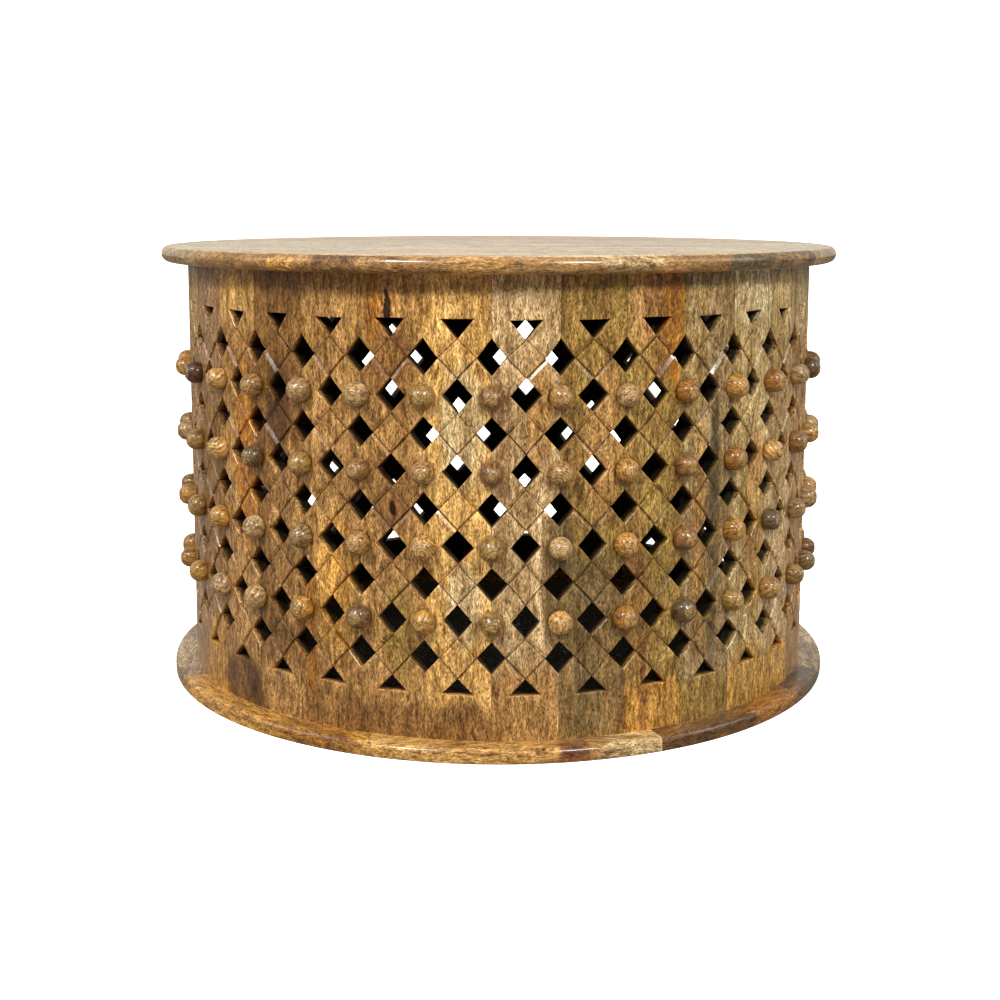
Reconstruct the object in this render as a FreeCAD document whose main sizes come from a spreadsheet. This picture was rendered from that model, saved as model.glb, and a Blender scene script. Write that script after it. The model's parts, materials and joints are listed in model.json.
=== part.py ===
import FreeCAD, Part
import os
import Sketcher
from FreeCAD import Placement, Rotation, Vector
from math import cos, floor, radians, sin

# A round wooden drum table. Coopered staves with bevelled edges stand glued side by side on a ring of
# mitred boards and carry a round top of edge-glued planks. Each stave is pierced with diamonds, and the
# half diamonds in its edges meet those of the next stave, so that the whole drum becomes a lattice.
# Turned knobs sit on the seams between the staves, and glue blocks inside the drum hold it to the top
# and to the ring.
#
# Frame: millimetres, Z up, the floor at Z = 0, the drum's axis on Z and the front towards -Y. The planks
# run along X, and one board of the ring is centred on the front. Turns are counted in degrees from the
# front towards +X.

# Driving dimensions. A name that ends in count is a number of pieces, and one in turn is in degrees.
SIZES = [
    ("table_height", 504),
    ("top_overhang", 30),
    ("top_thickness", 18),
    ("top_edge_bevel", 5),
    ("plank_count", 9),
    ("drum_diameter", 740),
    ("stave_count", 34),
    ("stave_thickness", 17),
    ("first_stave_turn", 1.75),
    ("top_band", 45),
    ("bottom_band", 47),
    ("hole_width", 32),
    ("hole_height", 38),
    ("hole_row_count", 5),
    ("knob_diameter", 24),
    ("knob_height", 18),
    ("ring_ledge", 25.5),
    ("ring_thickness", 15),
    ("ring_lip", 2),
    ("ring_edge_bevel", 6),
    ("ring_board_count", 8),
    ("block_length", 56),
    ("block_width", 30),
    ("block_height", 30),
    ("block_count", 8),
    ("cut_overrun", 3),
]

# A knob is a ball in twenty flat faces. Its corners stand in four layers of three, from the seat to the
# crown, with their radii and heights as shares of the knob's own. Every second layer is turned half a step.
KNOB_LAYER_SIDES = 3
KNOB_LAYER_SHARES = ((0.618, 0.0), (1.0, 0.382), (1.0, 0.618), (0.618, 1.0))

FULL_TURN = 360
HALF_TURN = 180
QUARTER_TURN = 90

# What follows from the sheet, as expressions. The outside of each stave is worked in three flats: one
# along its middle and half of one along each seam, where the knobs sit. The top overhangs the drum, and
# the ring reaches from its ledge outside the drum to a lip inside the glue blocks.
STAVE_LENGTH = "(sizes.table_height - sizes.top_thickness - sizes.ring_thickness)"
TOP_UNDERSIDE = "(sizes.table_height - sizes.top_thickness)"
DRUM_RADIUS = "(sizes.drum_diameter / 2)"
TOP_RADIUS = f"({DRUM_RADIUS} + sizes.top_overhang)"
RING_RADIUS = f"({DRUM_RADIUS} + sizes.ring_ledge)"
SEAM_TURN = f"({HALF_TURN} / sizes.stave_count)"
OUTER_FLAT = f"({DRUM_RADIUS} * cos({SEAM_TURN} / 2))"
INNER_FLAT = f"({OUTER_FLAT} - sizes.stave_thickness)"
SEAM_ACROSS = f"({OUTER_FLAT} * sin({SEAM_TURN}))"
ROW_PITCH = f"(({STAVE_LENGTH} - sizes.top_band - sizes.bottom_band) / (2 * sizes.hole_row_count))"
RING_OPENING = f"({INNER_FLAT} - sizes.block_width - sizes.ring_lip)"
BOARD_TURN = f"({FULL_TURN} / sizes.ring_board_count)"
PANEL_REACH = f"({TOP_RADIUS} + sizes.cut_overrun)"
PLANK_WIDTH = f"(2 * {PANEL_REACH} / sizes.plank_count)"

ON_AXIS = "0"
ACROSS = Vector(1, 0, 0)
UPRIGHT = Vector(0, 0, 1)

document = FreeCAD.newDocument("drum_table")
sheet = document.addObject("Spreadsheet::Sheet", "sizes")
for row, (alias, number) in enumerate(SIZES, start=1):
    sheet.set(f"A{row}", alias)
    sheet.set(f"B{row}", str(number))
    sheet.setAlias(f"B{row}", alias)
document.recompute()

pieces = []


def value(expression):
    """The number that an expression over the sheet gives."""
    return float(sheet.evalExpression(expression))


def count(alias):
    """A number of pieces from the sheet."""
    return int(round(value(f"sizes.{alias}")))


def add(kind, name, **expressions):
    """Add a feature to the document, with properties bound to expressions over the sheet."""
    feature = document.addObject(kind, name)
    for property_name, expression in expressions.items():
        feature.setExpression(property_name, expression)
    return feature


def keep(feature, lift=ON_AXIS, turn=0):
    """Count a feature as a piece of the table, turned about the drum's axis and lifted to its height."""
    feature.Placement = Placement(Vector(0, 0, value(lift)), Rotation(UPRIGHT, turn))
    feature.setExpression("Placement.Base.z", lift)
    pieces.append(feature)


def stave_turn(number):
    """The turn at which a stave's middle stands. Half numbers are seams."""
    return value(f"sizes.first_stave_turn + {number} * 2 * {SEAM_TURN}")


def mirrored(corners):
    """The same corners on the left of the upright axis, in turning order."""
    return [(f"-{across}", up) for across, up in reversed(corners)]


def outline_sketch(body, name, role, outlines):
    """Sketch on an origin plane of the body, with closed outlines whose corners are expressions."""
    sketch = body.newObject("Sketcher::SketchObject", name)
    plane = next(feature for feature in body.Origin.OriginFeatures if feature.Role == role)
    sketch.AttachmentSupport = [(plane, "")]
    sketch.MapMode = "FlatFace"
    for corners in outlines:
        first = sketch.GeometryCount
        points = [Vector(value(across), value(up), 0) for across, up in corners]
        for here, there in zip(points, points[1:] + points[:1]):
            sketch.addGeometry(Part.LineSegment(here, there), False)
        for step, (across, up) in enumerate(corners):
            line = first + step
            following = first + (step + 1) % len(corners)
            sketch.addConstraint(Sketcher.Constraint("Coincident", line, 2, following, 1))
            hold_corner(sketch, line, "DistanceX", across, -2)
            hold_corner(sketch, line, "DistanceY", up, -1)
    return sketch


def hold_corner(sketch, line, kind, expression, axis):
    """Hold a line's start at a distance from the sketch's origin, or on an axis where that is zero."""
    if expression == ON_AXIS:
        sketch.addConstraint(Sketcher.Constraint("PointOnObject", line, 1, axis))
        return
    distance = Sketcher.Constraint(kind, -1, 1, line, 1, value(expression))
    index = sketch.addConstraint(distance)
    sketch.setExpression(f"Constraints[{index}]", expression)


def pierce(body, name, outlines, copies=None):
    """Cut outlines right through the stave, and repeat them downwards at every second row."""
    whole = body.Shape.Volume
    sketch = outline_sketch(body, f"{name}_outline", "XZ_Plane", outlines)
    cut = body.newObject("PartDesign::Pocket", name)
    cut.Profile = sketch
    cut.Type = "ThroughAll"
    cut.Reversed = True
    document.recompute()
    if copies:
        rows = body.newObject("PartDesign::LinearPattern", f"{name}_rows")
        rows.Originals = [cut]
        rows.Direction = (sketch, ["V_Axis"])
        rows.Reversed = True
        rows.setExpression("Length", f"2 * {ROW_PITCH} * ({copies} - 1)")
        rows.setExpression("Occurrences", copies)
        body.Tip = rows
        document.recompute()
    if body.Shape.Volume >= whole:
        raise RuntimeError(f"{name} cut nothing")


def row_height(number):
    """The height of a row's middle above the stave's foot. Row 0 is the top edge of the lattice."""
    return f"({STAVE_LENGTH} - sizes.top_band - {number} * {ROW_PITCH})"


def pierced_stave():
    """One stave at the front, its foot at zero: a bevelled board with the lattice cut through it."""
    body = add("PartDesign::Body", "stave")
    right_half = [
        (f"{DRUM_RADIUS} * sin({SEAM_TURN} / 2)", f"-{OUTER_FLAT}"),
        (SEAM_ACROSS, f"-{OUTER_FLAT} * cos({SEAM_TURN})"),
        (f"{INNER_FLAT} * tan({SEAM_TURN})", f"-{INNER_FLAT}"),
    ]
    section = outline_sketch(body, "stave_section", "XY_Plane", [right_half + mirrored(right_half)])
    board = body.newObject("PartDesign::Pad", "stave_board")
    board.Profile = section
    board.setExpression("Length", STAVE_LENGTH)
    document.recompute()

    half_width = "(sizes.hole_width / 2)"
    half_height = "(sizes.hole_height / 2)"

    def diamond(number):
        """A whole hole on the stave's middle."""
        middle = row_height(number)
        return [
            (f"-{half_width}", middle),
            (ON_AXIS, f"{middle} - {half_height}"),
            (half_width, middle),
            (ON_AXIS, f"{middle} + {half_height}"),
        ]

    def edge_notch(number):
        """The half hole in the stave's right edge, cut on past the edge at the same slant."""
        middle = row_height(number)
        point = f"({SEAM_ACROSS} - {half_width})"
        past = f"({SEAM_ACROSS} + sizes.cut_overrun)"
        spread = f"({half_height} * (1 + sizes.cut_overrun / {half_width}))"
        return [(point, middle), (past, f"{middle} - {spread}"), (past, f"{middle} + {spread}")]

    def end_triangle(number, sign):
        """Half a hole that closes the lattice, with its flat side on the row."""
        middle = row_height(number)
        return [(f"-{half_width}", middle), (ON_AXIS, f"{middle} {sign} {half_height}"), (half_width, middle)]

    pierce(body, "middle_hole", [diamond(2)], "(sizes.hole_row_count - 1)")
    pierce(body, "edge_hole", [edge_notch(1), mirrored(edge_notch(1))], "sizes.hole_row_count")
    pierce(body, "end_hole", [end_triangle(0, "-"), end_triangle("2 * sizes.hole_row_count", "+")])
    return body


def make_staves():
    """The drum: every stave is the same board, stood on the ring and turned to its place."""
    stave = pierced_stave()
    for number in range(count("stave_count")):
        piece = add("Part::Compound", f"stave_{number + 1:02d}")
        piece.Links = [stave]
        keep(piece, lift="sizes.ring_thickness", turn=stave_turn(number))


def knob_solid():
    """One knob, standing on its seat at the origin with its axis up."""
    radius = value("sizes.knob_diameter / 2")
    height = value("sizes.knob_height")
    step = FULL_TURN / KNOB_LAYER_SIDES
    layers = []
    for number, (radius_share, height_share) in enumerate(KNOB_LAYER_SHARES):
        turns = [radians(step * (side + number % 2 / 2)) for side in range(KNOB_LAYER_SIDES)]
        reach = radius * radius_share
        layers.append([Vector(reach * cos(turn), reach * sin(turn), height * height_share) for turn in turns])
    seat, lower, upper, crown = layers
    outlines = [seat[::-1], crown]
    for side in range(KNOB_LAYER_SIDES):
        after = (side + 1) % KNOB_LAYER_SIDES
        outlines.append([seat[side], seat[after], lower[side]])
        outlines.append([seat[side], lower[side], upper[side]])
        outlines.append([seat[after], upper[after], lower[side]])
        outlines.append([crown[side - 1], upper[side], crown[side]])
        outlines.append([crown[side], upper[side], lower[side]])
        outlines.append([crown[side], lower[side], upper[after]])
    faces = [Part.Face(Part.makePolygon(corners + corners[:1])) for corners in outlines]
    return Part.makeSolid(Part.makeShell(faces))


def make_knobs():
    """A ring of knobs on every second row, each glued to the flat that two staves make at a seam."""
    knob = knob_solid()
    upright_to_front = Rotation(ACROSS, QUARTER_TURN)
    for ring in range(1, count("hole_row_count")):
        knobs = []
        for number in range(count("stave_count")):
            outwards = Rotation(UPRIGHT, stave_turn(number + 0.5))
            seat = outwards.multVec(Vector(0, -value(OUTER_FLAT), value(row_height(2 * ring))))
            knobs.append(knob.transformed(Placement(seat, outwards * upright_to_front).toMatrix()))
        piece = add("Part::Feature", f"knob_ring_{ring}")
        piece.Shape = Part.makeCompound(knobs)
        keep(piece, lift="sizes.ring_thickness")


def turned_disc(name, profile):
    """A disc turned about the upright axis from half of its section."""
    body = add("PartDesign::Body", name)
    sketch = outline_sketch(body, f"{name}_section", "XZ_Plane", [profile])
    turning = body.newObject("PartDesign::Revolution", f"{name}_turning")
    turning.Profile = sketch
    turning.ReferenceAxis = (sketch, ["V_Axis"])
    turning.Angle = FULL_TURN
    return body


def make_top():
    """The round top: a panel of planks, turned to a disc with both edges bevelled."""
    inside_bevel = f"{TOP_RADIUS} - sizes.top_edge_bevel"
    disc = turned_disc("top_blank", [
        (ON_AXIS, ON_AXIS),
        (inside_bevel, ON_AXIS),
        (TOP_RADIUS, "sizes.top_edge_bevel"),
        (TOP_RADIUS, "sizes.top_thickness - sizes.top_edge_bevel"),
        (inside_bevel, "sizes.top_thickness"),
        (ON_AXIS, "sizes.top_thickness"),
    ])
    for number in range(count("plank_count")):
        board = add(
            "Part::Box", f"plank_board_{number + 1}",
            Length=f"2 * {PANEL_REACH}", Width=PLANK_WIDTH,
            Height="sizes.top_thickness + 2 * sizes.cut_overrun",
        )
        board.setExpression("Placement.Base.x", f"-{PANEL_REACH}")
        board.setExpression("Placement.Base.y", f"{number} * {PLANK_WIDTH} - {PANEL_REACH}")
        board.setExpression("Placement.Base.z", "-sizes.cut_overrun")
        plank = add("Part::Common", f"top_plank_{number + 1}")
        plank.Base = disc
        plank.Tool = board
        keep(plank, lift=TOP_UNDERSIDE)


def make_ring():
    """The base ring: mitred boards, turned round outside and left straight inside the drum."""
    disc = turned_disc("ring_blank", [
        (ON_AXIS, ON_AXIS),
        (RING_RADIUS, ON_AXIS),
        (RING_RADIUS, "sizes.ring_thickness - sizes.ring_edge_bevel"),
        (f"{RING_RADIUS} - sizes.ring_edge_bevel", "sizes.ring_thickness"),
        (ON_AXIS, "sizes.ring_thickness"),
    ])
    opening = add(
        "Part::Prism", "ring_opening",
        Polygon="sizes.ring_board_count", Circumradius=f"{RING_OPENING} / cos({BOARD_TURN} / 2)",
        Height="sizes.ring_thickness + 2 * sizes.cut_overrun",
    )
    first_corner = value(f"{BOARD_TURN} / 2 - {QUARTER_TURN}")
    opening.Placement = Placement(Vector(0, 0, value("-sizes.cut_overrun")), Rotation(UPRIGHT, first_corner))
    ring = add("Part::Cut", "ring_whole")
    ring.Base = disc
    ring.Tool = opening
    for number in range(count("ring_board_count")):
        sector = add(
            "Part::Cylinder", f"ring_sector_{number + 1}",
            Radius=f"{RING_RADIUS} + sizes.cut_overrun", Angle=BOARD_TURN,
            Height="sizes.ring_thickness + 2 * sizes.cut_overrun",
        )
        start = value(f"{BOARD_TURN} * ({number} - 1 / 2) - {QUARTER_TURN}")
        sector.Placement = Placement(Vector(0, 0, value("-sizes.cut_overrun")), Rotation(UPRIGHT, start))
        board = add("Part::Common", f"ring_board_{number + 1}")
        board.Base = ring
        board.Tool = sector
        keep(board)


def make_blocks(name, foot):
    """A set of glue blocks, each on the flat inside of the stave nearest to its even place."""
    blocks = []
    for number in range(count("block_count")):
        nearest = floor(number * count("stave_count") / count("block_count") + 1 / 2)
        block = add(
            "Part::Box", f"{name}_block_{number + 1}",
            Length="sizes.block_length", Width="sizes.block_width", Height="sizes.block_height",
        )
        turn = Rotation(UPRIGHT, stave_turn(nearest))
        corner = turn.multVec(Vector(value("-sizes.block_length / 2"), value(f"-{INNER_FLAT}"), 0))
        block.Placement = Placement(corner, turn)
        blocks.append(block)
    group = add("Part::Compound", name)
    group.Links = blocks
    keep(group, lift=foot)


def write_pieces():
    """Check the document and every piece, and write each piece to a file of its own name."""
    document.recompute()
    for feature in document.Objects:
        if {"Invalid", "Error"} & set(feature.State):
            raise RuntimeError(f"{feature.Name} failed: {feature.State}")
    for piece in pieces:
        if piece.Shape.isNull() or not piece.Shape.isValid() or not piece.Shape.Solids:
            raise RuntimeError(f"{piece.Label} has no valid shape")
        if min(solid.Volume for solid in piece.Shape.Solids) <= 0:
            raise RuntimeError(f"{piece.Label} is inside out")
    os.makedirs("parts", exist_ok=True)
    for piece in pieces:
        piece.Shape.exportStep(f"parts/{piece.Label}.step")
    solids = sum(len(piece.Shape.Solids) for piece in pieces)
    print(f"{len(pieces)} parts with {solids} solids")


make_staves()
make_knobs()
make_top()
make_ring()
make_blocks("top_glue_blocks", f"{TOP_UNDERSIDE} - sizes.block_height")
make_blocks("base_glue_blocks", "sizes.ring_thickness")
write_pieces()
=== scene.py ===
# %% [markdown]
# A round drum table in lacquered mango wood. The drum is built like a barrel, from upright staves that are
# pierced with diamonds. Turned knobs stand on its seams, a top of planks with a round rim lies on it, and it
# stands on a ring of boards. Everything is modelled in metres around the frame, which holds each piece at
# its real place, so a finished piece only has to stand where its plain one does.

import json
import random
from math import ceil, cos, floor, hypot, pi, radians, tan

import bpy
import numpy as np
from mathutils import Color, Matrix, Vector


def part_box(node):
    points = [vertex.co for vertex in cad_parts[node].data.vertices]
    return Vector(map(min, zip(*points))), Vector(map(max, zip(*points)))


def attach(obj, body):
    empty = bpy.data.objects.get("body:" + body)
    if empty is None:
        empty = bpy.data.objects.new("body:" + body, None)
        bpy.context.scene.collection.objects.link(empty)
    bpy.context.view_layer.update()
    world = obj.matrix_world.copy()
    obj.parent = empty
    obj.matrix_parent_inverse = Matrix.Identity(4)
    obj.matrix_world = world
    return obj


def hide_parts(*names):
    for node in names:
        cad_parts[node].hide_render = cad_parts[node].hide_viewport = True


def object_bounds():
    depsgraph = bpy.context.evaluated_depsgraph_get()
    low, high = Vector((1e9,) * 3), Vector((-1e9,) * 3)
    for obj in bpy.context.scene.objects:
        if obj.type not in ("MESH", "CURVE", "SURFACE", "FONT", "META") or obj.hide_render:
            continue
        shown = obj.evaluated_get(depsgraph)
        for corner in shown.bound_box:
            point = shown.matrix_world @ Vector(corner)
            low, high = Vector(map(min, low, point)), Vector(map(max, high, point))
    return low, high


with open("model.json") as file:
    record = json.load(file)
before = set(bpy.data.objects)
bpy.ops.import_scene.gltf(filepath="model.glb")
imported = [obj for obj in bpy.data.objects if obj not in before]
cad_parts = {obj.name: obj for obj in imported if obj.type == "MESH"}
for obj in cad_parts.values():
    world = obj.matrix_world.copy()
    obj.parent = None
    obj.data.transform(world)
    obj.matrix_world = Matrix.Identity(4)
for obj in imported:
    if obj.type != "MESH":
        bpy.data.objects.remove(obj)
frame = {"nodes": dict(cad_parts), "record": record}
frame_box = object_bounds()
slot_of = {part["node"]: part["material_slot"] for part in frame["record"]["subparts"]}
print(len(frame["nodes"]), "plain pieces in the frame")

# %% [markdown]
# The main sizes come from the frame: the box of a plank gives the top's place, and the box of a ring board
# the ring's. The rest are the sizes that the table was built to, because a box can't tell how far apart
# the rows of the lattice are. A plain stave has flats half a stave's turn apart, a little inside the drum's
# radius.

# %% Sizes that all pieces share
MM = 0.001
FULL_TURN = 2 * pi

STAVE_COUNT = sum(node.startswith("stave") for node in frame["nodes"])
PLANK_COUNT = sum(node.startswith("top_plank") for node in frame["nodes"])
BOARD_COUNT = sum(node.startswith("ring_board") for node in frame["nodes"])

TOP_LOW, TOP_HIGH = (corner.z for corner in map(Vector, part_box("top_plank_1")))
TOP_RADIUS = min(frame_box[1][0], frame_box[1][1])
RING_RADIUS = -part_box("ring_board_1")[0][1]
RING_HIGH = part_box("ring_board_1")[1][2]
STAVE_LENGTH = TOP_LOW - RING_HIGH

DRUM_RADIUS = 370 * MM
STAVE_THICKNESS = 17 * MM
STAVE_TURN = FULL_TURN / STAVE_COUNT
FIRST_STAVE_TURN = radians(1.75)
STAVE_HALF_WIDTH = DRUM_RADIUS * STAVE_TURN / 2
OUTER_FLAT = DRUM_RADIUS * cos(STAVE_TURN / 4)
INNER_FLAT = OUTER_FLAT - STAVE_THICKNESS

TOP_BAND = 45 * MM
BOTTOM_BAND = 47 * MM
ROW_COUNT = 10
ROW_PITCH = (STAVE_LENGTH - TOP_BAND - BOTTOM_BAND) / ROW_COUNT
LATTICE_HIGH = STAVE_LENGTH - TOP_BAND
CELL_WIDTH = 1 / hypot(1 / ROW_PITCH, 1 / STAVE_HALF_WIDTH)


def stave_turn(number):
    """How far round the drum a stave stands. A half number is the seam after it."""
    return FIRST_STAVE_TURN + (number - 1) * STAVE_TURN


print(f"rows {ROW_PITCH / MM:.1f} mm apart, staves {2 * STAVE_HALF_WIDTH / MM:.1f} mm wide")

# %% [markdown]
# The camera stands where the photographer stood: a little left of the front and just above the top. A
# product photograph is often cropped, so the middle of the lens isn't the middle of the picture, and
# shift puts it back. The distance and the height were fitted as multiples of the drum's radius.

# %% Camera
PICTURE_SIZE = 1000
SENSOR = 36
FOCAL_LENGTH_PX = 1489.8
LENS_CENTRE_PX = (498.55, 390.58)
CAMERA_DISTANCE = 4.9084 * DRUM_RADIUS
CAMERA_HEIGHT = 1.5094 * DRUM_RADIUS
CAMERA_TURN = radians(-2.5)
CAMERA_PITCH = 0.1284
CAMERA_ROLL = 0.0013

lens = bpy.data.cameras.new("photograph_view")
lens.sensor_width = SENSOR
lens.lens = FOCAL_LENGTH_PX / PICTURE_SIZE * SENSOR
lens.shift_x = (PICTURE_SIZE / 2 - LENS_CENTRE_PX[0]) / PICTURE_SIZE
lens.shift_y = (LENS_CENTRE_PX[1] - PICTURE_SIZE / 2) / PICTURE_SIZE
camera = bpy.data.objects.new("photograph_view", lens)
bpy.context.scene.collection.objects.link(camera)
camera.matrix_world = (
    Matrix.Rotation(CAMERA_TURN, 4, "Z")
    @ Matrix.Translation((0, -CAMERA_DISTANCE, CAMERA_HEIGHT))
    @ Matrix.Rotation(pi / 2 - CAMERA_PITCH, 4, "X")
    @ Matrix.Rotation(CAMERA_ROLL, 4, "Z")
)
bpy.context.scene.camera = camera
print(f"the camera stands {CAMERA_DISTANCE:.2f} m away and {CAMERA_HEIGHT:.2f} m up")

# %% [markdown]
# Blender's operators act on whatever is selected, so a few helpers keep the selection in order. Each piece
# is shaped in edit mode, and its vertices can also be moved all at once by a formula, the way a jig or a
# router moves along a rule.

# %% Helpers for modelling
FINE = 1e-6


def take(piece):
    """Select one piece alone and make it the active one."""
    bpy.ops.object.select_all(action="DESELECT")
    piece.select_set(True)
    bpy.context.view_layer.objects.active = piece


def started(add, name, **sizes):
    """A piece that starts as a primitive, with its place and size in its mesh."""
    bpy.ops.object.select_all(action="DESELECT")
    add(**sizes)
    piece = bpy.context.object
    piece.name = name
    bpy.ops.object.transform_apply()
    return piece


def edit(piece):
    """Open a piece in edit mode, with everything selected."""
    take(piece)
    bpy.ops.object.mode_set(mode="EDIT")
    bpy.ops.mesh.select_all(action="SELECT")


def close_edit():
    bpy.ops.object.mode_set(mode="OBJECT")


def slice_at(place, normal, clear=False, fill=False):
    """Cut the open mesh with a plane. Clear takes away the side that the normal points to."""
    bpy.ops.mesh.select_all(action="SELECT")
    bpy.ops.mesh.bisect(plane_co=place, plane_no=normal, clear_outer=clear, use_fill=fill, threshold=FINE)


def rows_of(group, field, width=3, kind=float):
    """One field of all vertices, edges or faces, as rows of numbers."""
    numbers = np.empty(len(group) * width, dtype=kind)
    group.foreach_get(field, numbers)
    return numbers.reshape(-1, width)


def points_of(piece):
    return rows_of(piece.data.vertices, "co")


def face_centres(piece):
    return rows_of(piece.data.polygons, "center")


def move_points(piece, places):
    piece.data.vertices.foreach_set("co", np.ascontiguousarray(places).ravel())
    piece.data.update()


def pick(piece, mode, chosen):
    """Select the vertices, edges or faces of a piece that are marked in a list, and open it in edit mode."""
    take(piece)
    bpy.ops.object.mode_set(mode="EDIT")
    bpy.ops.mesh.select_mode(type=mode)
    bpy.ops.mesh.select_all(action="DESELECT")
    bpy.ops.object.mode_set(mode="OBJECT")
    group = {"VERT": piece.data.vertices, "EDGE": piece.data.edges, "FACE": piece.data.polygons}[mode]
    group.foreach_set("select", np.asarray(chosen, dtype=bool))
    bpy.ops.object.mode_set(mode="EDIT")


def close_normals():
    """Point all faces of the open mesh outwards, and leave edit mode."""
    bpy.ops.mesh.select_all(action="SELECT")
    bpy.ops.mesh.normals_make_consistent(inside=False)
    close_edit()


def smooth(piece, sharpest):
    """Shade a piece smooth, except over edges that turn by more than the angle."""
    take(piece)
    bpy.ops.object.shade_smooth_by_angle(angle=sharpest)


def copy_of(piece, name):
    """A copy with a mesh of its own."""
    copy = bpy.data.objects.new(name, piece.data.copy())
    bpy.context.scene.collection.objects.link(copy)
    return copy


def drop(piece):
    """Take a pattern piece out of the scene."""
    bpy.data.objects.remove(piece, do_unlink=True)


def join(parts, name):
    """Join parts into one piece at the origin."""
    take(parts[0])
    for part in parts:
        part.select_set(True)
    bpy.ops.object.join()
    parts[0].name = name
    return parts[0]


# %% [markdown]
# On the real table a stave is a bevelled board, and its lattice is sawn and carved before the glue goes on.
# A boolean could cut the holes, but it leaves long thin faces that shade badly. Here the stave starts
# as a grid whose lines run along the diagonals of the lattice. Its cells are then the diamonds
# themselves: a hole is a deleted cell, and a carved line follows a grid line. The lines are drawn together
# beside each border, so that there are points for the soft edge of a hole and for the wall of a groove.

# %% A flat sheet ruled with the lattice
CELL_LINE_SHARES = np.array([0, 0.335, 0.455, 0.482, 0.5, 0.518, 0.545, 0.665])
FIRST_CELL = -3
CELLS_EACH_WAY = ROW_COUNT - 2 * FIRST_CELL


def lattice_place(places):
    """Where points of the flat stave lie on the lattice: in half widths from its middle, and in rows."""
    return places[:, 0] / STAVE_HALF_WIDTH, (LATTICE_HIGH - places[:, 2]) / ROW_PITCH


def ruled_sheet():
    """A grid along the lattice's diagonals, trimmed to the outline of a stave."""
    lines = CELLS_EACH_WAY * len(CELL_LINE_SHARES)
    add_grid = bpy.ops.mesh.primitive_grid_add
    sheet = started(add_grid, "ruled_sheet", x_subdivisions=lines, y_subdivisions=lines, size=lines)
    steps = np.rint(points_of(sheet)[:, :2] + lines / 2).astype(int)
    cell, line = np.divmod(steps, len(CELL_LINE_SHARES))
    rising, falling = (FIRST_CELL + cell + CELL_LINE_SHARES[line]).T
    across = (rising - falling) / 2 * STAVE_HALF_WIDTH
    up = LATTICE_HIGH - (rising + falling) / 2 * ROW_PITCH
    move_points(sheet, np.stack([across, np.zeros_like(across), up], axis=1))

    edit(sheet)
    slice_at((STAVE_HALF_WIDTH, 0, 0), (1, 0, 0), clear=True)
    slice_at((-STAVE_HALF_WIDTH, 0, 0), (-1, 0, 0), clear=True)
    slice_at((0, 0, STAVE_LENGTH), (0, 0, 1), clear=True)
    slice_at((0, 0, 0), (0, 0, -1), clear=True)
    return sheet


sheet = ruled_sheet()
print(len(sheet.data.polygons), "faces in the ruled sheet")

# %% [markdown]
# Cells whose two diagonal numbers are both even are holes. The rows at the ends of the lattice hold half
# holes, so the sheet is cut along those rows first. Two more cuts just outside them give the flat side of
# each half hole its soft edge.

# %% Cut the holes
EDGE_WEAR_WIDTHS = (0, 0.46 * MM, 1.14 * MM)
EDGE_WEAR_DEPTHS = (0.7 * MM, 0.17 * MM, 0)

for row, outwards in ((0, 1), (ROW_COUNT, -1)):
    for width in EDGE_WEAR_WIDTHS:
        slice_at((0, 0, LATTICE_HIGH - row * ROW_PITCH + outwards * width), (0, 0, 1))
close_edit()


def even_cell(number):
    return np.rint(number) % 2 == 0


across, row = lattice_place(face_centres(sheet))
in_lattice = (row > 0) & (row < ROW_COUNT)
pick(sheet, "FACE", in_lattice & even_cell(row + across) & even_cell(row - across))
bpy.ops.mesh.delete(type="FACE")
close_edit()
print(len(sheet.data.polygons), "faces left round the holes")

# %% [markdown]
# Between the holes lie solid diamonds. The ones on the middle of a stave are outlined by a carved line, with
# a steep wall on the diamond's side and a gentle bank on the other, which catches the light. The depth
# of the carving depends only on how far a point lies from its diamond, measured in cells, so a short
# formula gives it for the whole stave. The carving is kept as an attribute until the stave has its back.

# %% Work out the carving
HALF_CELL = 0.5
GROOVE_DEPTH = 2.4 * MM
GROOVE_REACH_SHARES = (0.455, 0.482, 0.5, 0.665)
GROOVE_DEPTH_SHARES = (0, 0.45, 1, 0)


def carving_depth(across, row):
    """How deep the carving goes at each place, and how much of it is groove and how much is wear."""
    rising, falling = row + across, row - across
    middle = np.clip(2 * np.floor(row / 2) + 1, 1, ROW_COUNT - 1)
    reach = np.maximum(np.abs(rising - middle), np.abs(falling - middle))
    groove = GROOVE_DEPTH * np.interp(reach, GROOVE_REACH_SHARES, GROOVE_DEPTH_SHARES)

    hole_rising, hole_falling = 2 * np.rint(rising / 2), 2 * np.rint(falling / 2)
    beyond = np.maximum(np.abs(rising - hole_rising), np.abs(falling - hole_falling)) - HALF_CELL
    from_hole = np.maximum(beyond, 0) * CELL_WIDTH
    outside = np.maximum(-row, row - ROW_COUNT)
    aside = np.maximum(np.abs(across) - HALF_CELL, 0)
    from_end = np.hypot(aside * STAVE_HALF_WIDTH, outside * ROW_PITCH)
    nearest = np.where(outside >= 0, from_end, from_hole)
    wear = np.interp(nearest, EDGE_WEAR_WIDTHS, EDGE_WEAR_DEPTHS)
    return np.maximum(groove, wear), groove / GROOVE_DEPTH, wear / EDGE_WEAR_DEPTHS[0]


def store(piece, name, rows, kind="FLOAT"):
    """Keep numbers on a piece's vertices, under a name that its material can read."""
    layer = piece.data.attributes.new(name, kind, "POINT")
    field = {"FLOAT": "value", "FLOAT_VECTOR": "vector", "FLOAT_COLOR": "color"}[kind]
    layer.data.foreach_set(field, np.ascontiguousarray(rows, dtype=np.float32).ravel())


def stored(piece, name):
    """The numbers that were kept on a piece's vertices."""
    return rows_of(piece.data.attributes[name].data, "value", 1, np.float32).ravel()


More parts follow.
